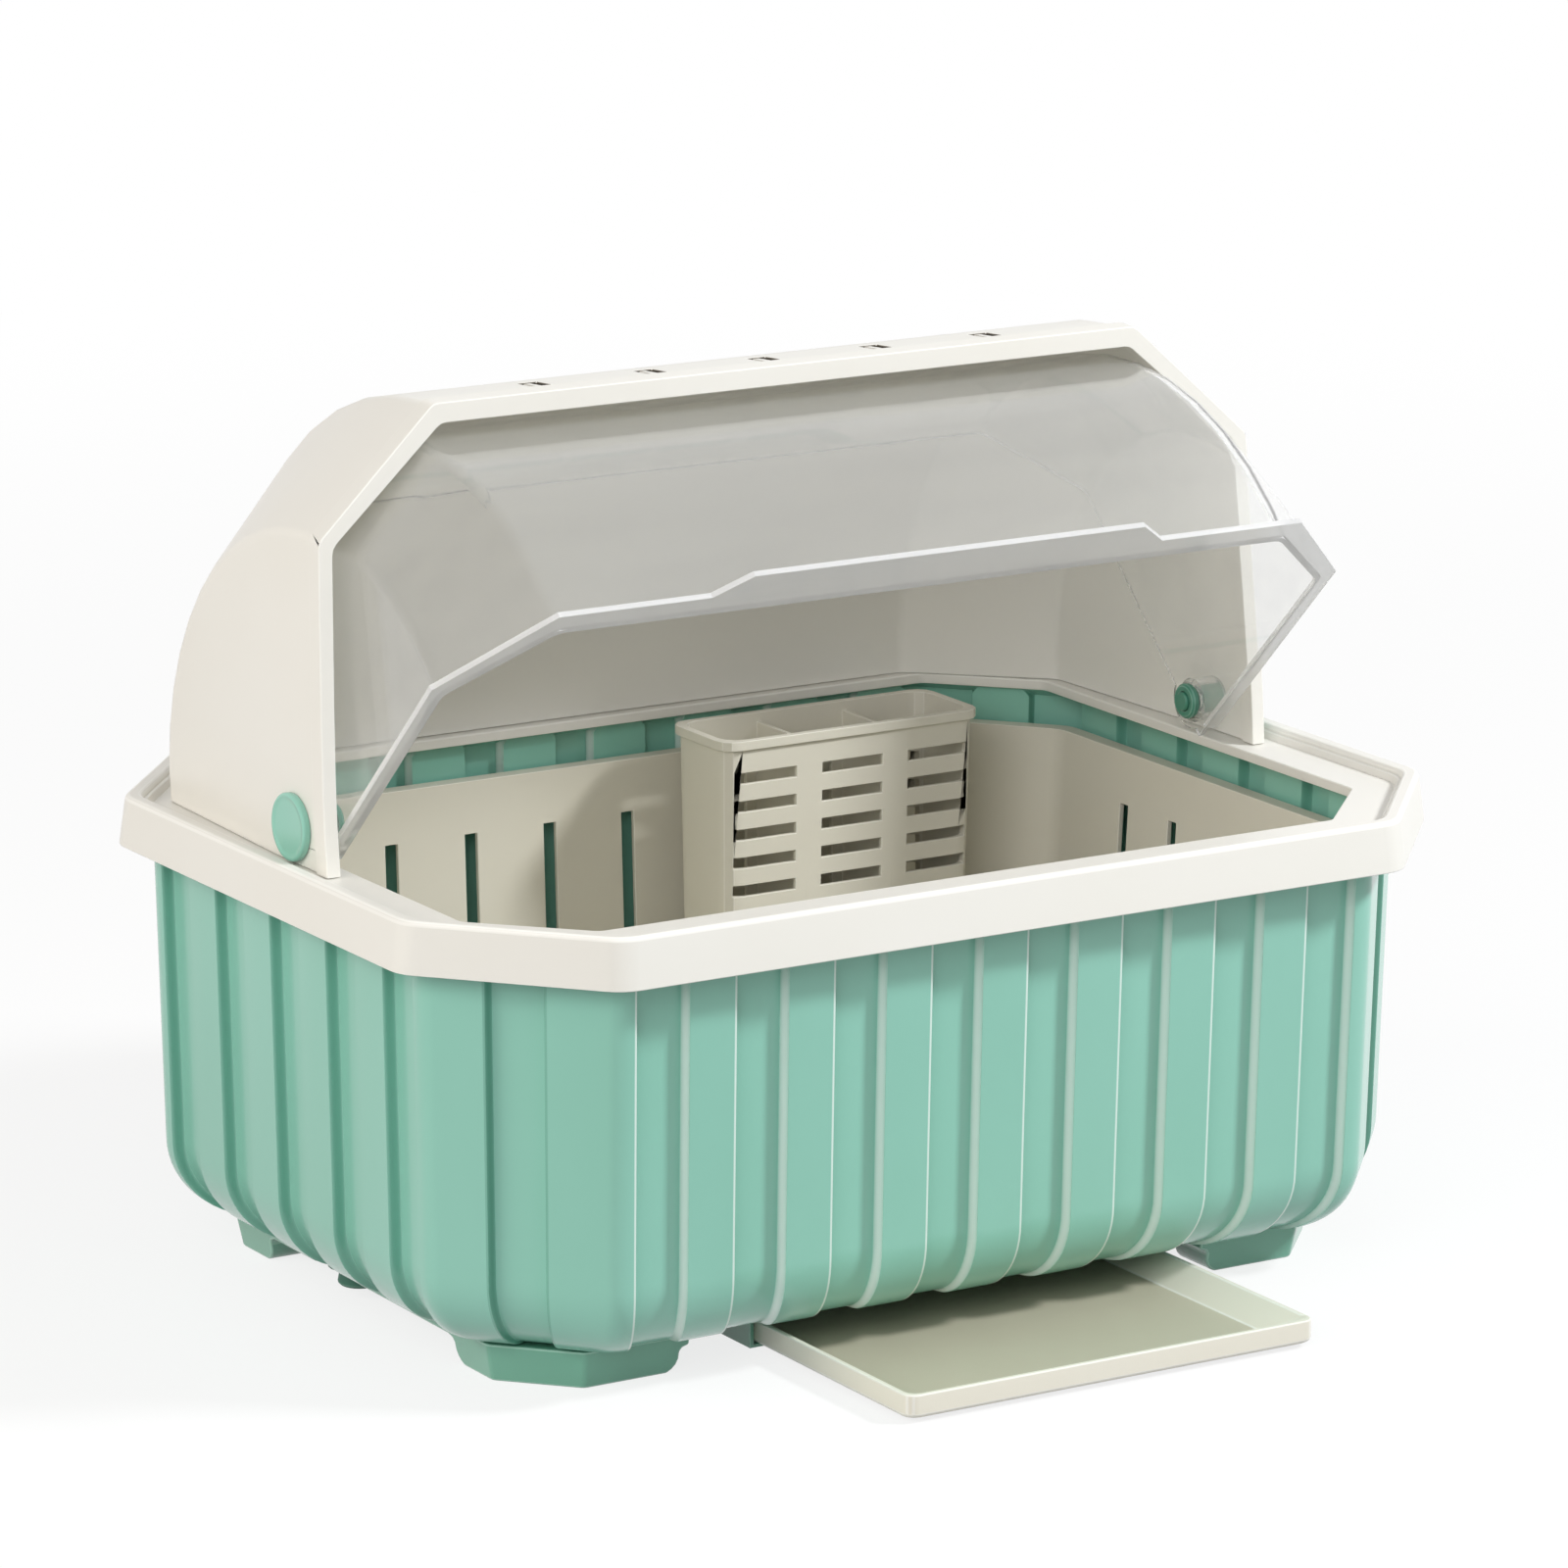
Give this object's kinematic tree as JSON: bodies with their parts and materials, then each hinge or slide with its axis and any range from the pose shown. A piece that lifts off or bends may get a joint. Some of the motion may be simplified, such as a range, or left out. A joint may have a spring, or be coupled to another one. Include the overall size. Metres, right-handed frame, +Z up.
{
  "type": "covered dish drainer",
  "caption": "Covered dish drainer: ribbed eight-sided tub on feet with a sliding drip tray, a lift-off collar and hood, and a clear cover that swings on two pivots.",
  "frame": {"origin": "centre of the overall box at table level, with the drip tray pulled out as in the picture", "axes": "+X to the right along the long side, +Y to the back, +Z up; the cover and the drip tray open towards -Y"},
  "size_m": [0.48, 0.416, 0.3675],
  "materials": {
    "cream_plastic": "satin moulded plastic, warm off-white",
    "basket_plastic": "satin moulded plastic, warm off-white",
    "green_plastic": "semi-gloss moulded plastic, mint green",
    "plug_rubber": "matt dark green",
    "clear_plastic": "polished clear plastic"
  },
  "bodies": {
    "base": {"tub": "green_plastic", "foot_front_left": "green_plastic", "foot_front_right": "green_plastic", "foot_rear_left": "green_plastic", "foot_rear_right": "green_plastic", "tray_runner_left": "green_plastic", "tray_runner_right": "green_plastic", "drain_basket": "basket_plastic", "drain_plug": "plug_rubber"},
    "top": {"collar": "cream_plastic", "hood": "cream_plastic", "pivot_button_left": "green_plastic", "pivot_button_right": "green_plastic", "pivot_clip_left": "green_plastic", "pivot_clip_right": "green_plastic"},
    "cover": {"clear_cover": "clear_plastic"},
    "tray": {"drip_tray": "cream_plastic"},
    "cutlery": {"cutlery_holder": "basket_plastic"},
    "rack": {"plate_rack": "basket_plastic"}
  },
  "joints": [
    {"name": "top_lift", "type": "slide", "parent": "base", "child": "top", "axis": [0, 0, 1], "range_m": [0, 0.2]},
    {"name": "cover_hinge", "type": "hinge", "parent": "top", "child": "cover", "pos_m": [0, 0.0255, 0.2025], "axis": [-1, 0, 0], "range_deg": [-45, 42]},
    {"name": "tray_slide", "type": "slide", "parent": "base", "child": "tray", "axis": [0, -1, 0], "range_m": [-0.064, 0.06]},
    {"name": "cutlery_lift", "type": "slide", "parent": "base", "child": "cutlery", "axis": [0, 0, 1], "range_m": [0, 0.06]},
    {"name": "rack_lift", "type": "slide", "parent": "base", "child": "rack", "axis": [0, 0, 1], "range_m": [0, 0.09]}
  ]
}
